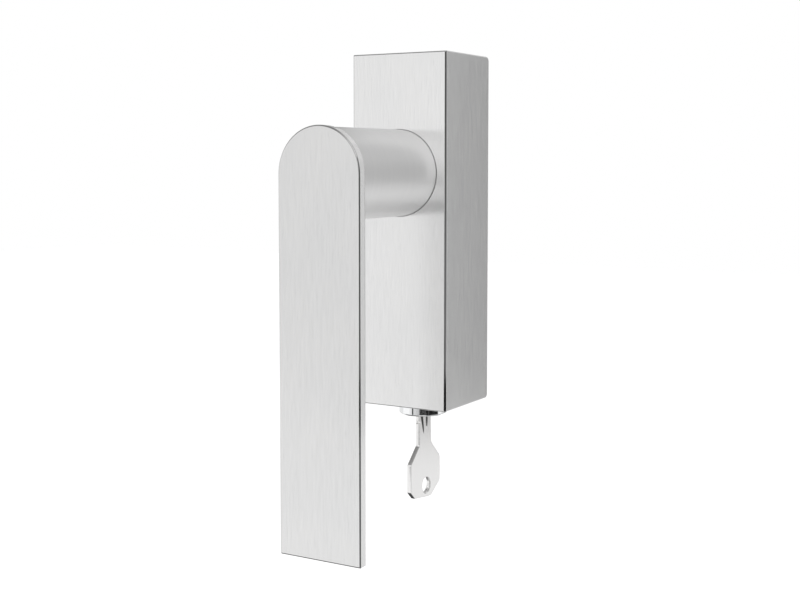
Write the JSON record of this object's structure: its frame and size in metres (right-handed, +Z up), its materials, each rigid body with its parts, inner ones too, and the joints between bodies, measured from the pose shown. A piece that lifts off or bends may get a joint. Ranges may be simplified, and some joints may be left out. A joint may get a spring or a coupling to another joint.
{
  "type": "tilt turn handle",
  "caption": "Lockable tilt and turn window handle: flat blade lever on a round neck, slim box housing on a square spindle, and a push lock worked by a key from below.",
  "frame": {"origin": "on the spindle axis, in the plane of the housing's back that lies on the window sash", "axes": "+Z up, the front faces -Y, +Y runs along the spindle into the sash, +X is right as seen from the front; the lever hangs down in the closed position"},
  "size_m": [0.034, 0.098, 0.1495],
  "materials": {
    "brushed_cover": "brushed along Z",
    "brushed_blade": "brushed along its length",
    "satin_neck": "satin, turned",
    "chrome_cylinder": "polished",
    "nickel_key": "bright nickel",
    "plug_brass": "nickel plated, satin",
    "wafer_brass": "stamped",
    "cap_brass": "turned",
    "die_cast_zinc": "die cast",
    "zinc_plated_plate": "zinc plated",
    "zinc_plated_screw": "zinc plated",
    "spindle_steel": "drawn, zinc plated",
    "hard_steel": "hardened",
    "spring_steel": "wire",
    "black_steel": "blackened",
    "white_bush": "self-lubricating acetal",
    "dark_ring": "matt nylon"
  },
  "bodies": {
    "housing": {"housing_cover": "brushed_cover", "chassis": "die_cast_zinc", "rear_plate": "zinc_plated_plate", "rear_plate_screws": "zinc_plated_screw", "cover_grub_screws": "black_steel", "glide_ring": "dark_ring", "front_bush": "white_bush", "rear_bush": "white_bush", "detent_plate": "hard_steel", "fixing_screws": "zinc_plated_screw", "retaining_pin": "hard_steel", "return_spring": "spring_steel"},
    "lever": {"lever_blade": "brushed_blade", "lever_neck": "satin_neck", "neck_washer": "white_bush", "locking_star": "spindle_steel", "star_pin": "hard_steel", "detent_balls": "hard_steel", "detent_springs": "spring_steel", "thrust_washer": "zinc_plated_plate", "circlip": "black_steel", "spindle": "spindle_steel"},
    "lock": {"push_cylinder": "chrome_cylinder", "cylinder_cap": "cap_brass", "locking_fork": "zinc_plated_plate", "fork_pin": "hard_steel", "latch_slider": "zinc_plated_plate", "latch_spring": "spring_steel"},
    "plug": {"key_plug": "plug_brass", "wafers": "wafer_brass", "wafer_springs": "spring_steel"},
    "key": {"key": "nickel_key"}
  },
  "joints": [
    {"name": "lever_turn", "type": "hinge", "parent": "housing", "child": "lever", "pos_m": [0, 0, 0], "axis": [0, 1, 0], "range_deg": [-180, 180]},
    {"name": "lock_push", "type": "slide", "parent": "housing", "child": "lock", "axis": [0, 0, 1], "range_m": [0, 0.004], "stiffness_N_per_m": 1200, "springref_m": -0.002, "deforming": ["return_spring"]},
    {"name": "key_turn", "type": "hinge", "parent": "lock", "child": "plug", "pos_m": [0, -0.013, 0], "axis": [0, 0, 1], "range_deg": [0, 90]},
    {"name": "key_withdraw", "type": "slide", "parent": "plug", "child": "key", "axis": [0, 0, -1], "range_m": [0, 0.024]}
  ]
}
